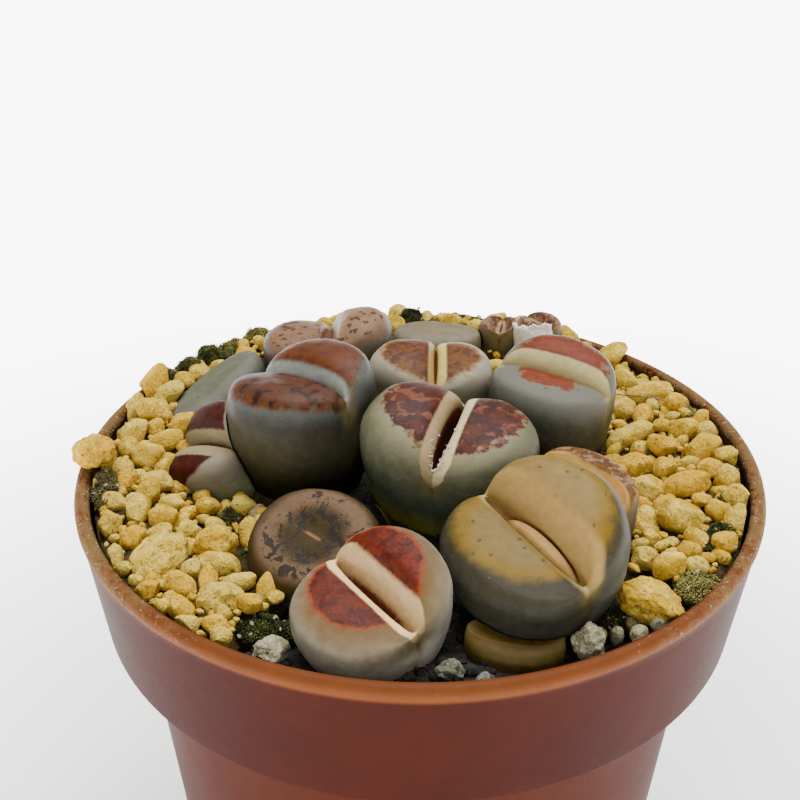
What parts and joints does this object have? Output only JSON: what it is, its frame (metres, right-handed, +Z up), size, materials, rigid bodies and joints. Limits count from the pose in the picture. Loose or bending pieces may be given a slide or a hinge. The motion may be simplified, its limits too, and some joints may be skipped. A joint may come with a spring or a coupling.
{
  "type": "potted lithops",
  "caption": "Clump of two-leaved living stones with coloured flat tops, standing in yellow grit over dark soil in a round terracotta-coloured plastic pot.",
  "frame": {"origin": "middle of the pot's base, on the surface that it stands on", "axes": "+Z up along the pot's axis, -Y towards the viewer of the picture, +X to the viewer's right"},
  "size_m": [0.1061, 0.105, 0.1045],
  "materials": {
    "leaf_tall_rust": "smooth waxy skin, rust windows with dark islands on top, lilac grey flanks",
    "leaf_heart_maroon": "smooth waxy skin, grey green flanks, cream margin, dusty maroon windows",
    "leaf_wide_tan": "smooth waxy skin, tan faces with a few dark dots, blue grey flanks",
    "leaf_cream_brick": "smooth waxy skin, brick red windows with dark dashes, cream borders",
    "leaf_flat_brown": "matte taupe skin with a dark net and blue grey islands",
    "leaf_split_red": "smooth skin, raspberry red windows, cream bands, olive grey flanks",
    "leaf_plain_grey": "matte grey green skin with fine dark specks",
    "leaf_back_lilac": "matte pinkish lilac skin with brown dashes",
    "leaf_orange_pair": "smooth skin, orange tan windows with brown streaks, cream bands",
    "leaf_back_grey": "matte grey skin with a pink tan top",
    "leaf_coral_bands": "matte grey skin with two coral red bands and a pale stripe between",
    "leaf_pink_behind": "smooth skin, pink cream with maroon bands",
    "leaf_old_olive": "glossy brown olive old skin, half translucent",
    "leaf_small_back": "matte pink brown skin with a light stripe",
    "leaf_sheathed_back": "matte grey green skin with a brown top",
    "new_leaf": "satin, orange tan young leaf",
    "dry_leaf": "matte, papery, off white",
    "ochre_stone": "rough porous ochre yellow grit, with paler dusty faces",
    "grey_stone": "rough porous pale grey green pumice",
    "moss": "matte dark olive green cushions",
    "soil": "matte dark brown crumbs",
    "terracotta_plastic": "satin moulded plastic, terracotta orange brown, glossier on the lip, chalky dust in places"
  },
  "bodies": {
    "root": {"body_tall_rust": "leaf_tall_rust", "body_heart_maroon": "leaf_heart_maroon", "body_wide_tan": "leaf_wide_tan", "body_cream_brick": "leaf_cream_brick", "body_flat_brown": "leaf_flat_brown", "body_split_red": "leaf_split_red", "body_plain_grey": "leaf_plain_grey", "body_back_lilac": "leaf_back_lilac", "body_orange_pair": "leaf_orange_pair", "body_back_grey": "leaf_back_grey", "body_coral_bands": "leaf_coral_bands", "body_pink_behind": "leaf_pink_behind", "body_old_olive": "leaf_old_olive", "body_small_back": "leaf_small_back", "body_sheathed_back": "leaf_sheathed_back", "new_leaf_pair": "new_leaf", "dry_leaf_sheath": "dry_leaf", "stone_on_rim": "ochre_stone", "stone_flat_left": "ochre_stone", "stone_round_left": "ochre_stone", "stone_rough_left": "ochre_stone", "stone_corner_right": "ochre_stone", "pumice_left": "grey_stone", "pumice_right": "grey_stone", "pebble_front_grey": "grey_stone", "pebble_front_dark": "grey_stone", "moss_cushion_back": "moss", "moss_cushion_left": "moss", "moss_cushion_front": "moss", "moss_cushion_right": "moss", "yellow_grit": "ochre_stone", "potting_soil": "soil", "pot": "terracotta_plastic"}
  },
  "joints": []
}
